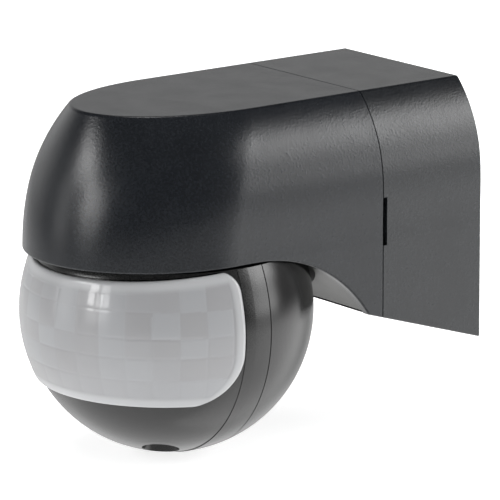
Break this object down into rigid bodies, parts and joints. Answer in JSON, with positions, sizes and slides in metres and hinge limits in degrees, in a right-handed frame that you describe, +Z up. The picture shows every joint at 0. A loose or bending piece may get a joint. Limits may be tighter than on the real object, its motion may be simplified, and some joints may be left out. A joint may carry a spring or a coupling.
{
  "type": "motion sensor",
  "caption": "Wall-mounted outdoor motion sensor: dark hood with a flat top on a wall base, over a ball head with a wide milky lens that pans left and right.",
  "frame": {"origin": "centre of the two wall screw holes, on the wall plane at the back of the base", "axes": "+Y into the wall, so -Y is the front; +Z up; +X to the right seen from the front looking at the wall"},
  "size_m": [0.0714, 0.1073, 0.086],
  "materials": {
    "hood_plastic": "fine spark-eroded grain",
    "base_plastic": "fine spark-eroded grain",
    "cover_plastic": "satin",
    "head_plastic": "satin grain",
    "knob_plastic": "satin",
    "lens_plastic": "milky, moulded Fresnel cells",
    "inner_plastic": "natural moulded",
    "seal_rubber": "matt",
    "zinc_steel": "zinc plated",
    "terminal_brass": "plain",
    "circuit_board": "solder mask",
    "relay_plastic": "moulded",
    "capacitor_plastic": "moulded",
    "can_metal": "nickel plated",
    "filter_glass": "dark silicon window",
    "capacitor_metal": "sleeved",
    "varistor_coat": "dipped",
    "fuse_plastic": "moulded",
    "led_plastic": "clear dipped",
    "cell_plastic": "clear cap",
    "trimmer_plastic": "moulded",
    "lead_sleeve": "PVC sleeve",
    "block_plastic": "moulded"
  },
  "bodies": {
    "housing": {"hood_shell": "hood_plastic", "wall_base": "base_plastic", "seam_gasket": "seal_rubber", "cable_grommet": "seal_rubber", "latch_clips": "zinc_steel", "bottom_cover": "cover_plastic", "cover_screws": "zinc_steel", "friction_washer": "zinc_steel", "power_board": "circuit_board", "power_board_screws": "zinc_steel", "relay": "relay_plastic", "film_capacitor": "capacitor_plastic", "electrolytic_capacitor": "capacitor_metal", "varistor": "varistor_coat", "fuse": "fuse_plastic", "terminal_block": "block_plastic", "terminal_clamps": "terminal_brass", "terminal_screws": "zinc_steel", "mains_leads": "lead_sleeve", "head_leads": "lead_sleeve"},
    "head": {"swivel_neck": "head_plastic", "swivel_retainer": "inner_plastic", "head_front_shell": "head_plastic", "head_rear_shell": "head_plastic", "head_screws": "zinc_steel", "head_gasket": "seal_rubber", "lens": "lens_plastic", "lens_frame": "inner_plastic", "sensor_board": "circuit_board", "sensor_board_screws": "zinc_steel", "control_board": "circuit_board", "pir_sensor": "can_metal", "pir_filter": "filter_glass", "light_sensor": "cell_plastic", "status_led": "led_plastic", "trimmers": "trimmer_plastic"},
    "knob_time_body": {"knob_time": "knob_plastic"},
    "knob_lux_body": {"knob_lux": "knob_plastic"},
    "knob_sensitivity_body": {"knob_sensitivity": "knob_plastic"}
  },
  "joints": [
    {"name": "head_pan", "type": "hinge", "parent": "housing", "child": "head", "pos_m": [0, -0.0715, -0.02], "axis": [0, 0, 1], "range_deg": [-45, 45]},
    {"name": "knob_time_turn", "type": "hinge", "parent": "head", "child": "knob_time_body", "pos_m": [-0.011, -0.082, -0.048], "axis": [0, 0, 1], "range_deg": [-135, 135]},
    {"name": "knob_lux_turn", "type": "hinge", "parent": "head", "child": "knob_lux_body", "pos_m": [0, -0.082, -0.048], "axis": [0, 0, 1], "range_deg": [-135, 135]},
    {"name": "knob_sensitivity_turn", "type": "hinge", "parent": "head", "child": "knob_sensitivity_body", "pos_m": [0.011, -0.082, -0.048], "axis": [0, 0, 1], "range_deg": [-135, 135]}
  ]
}
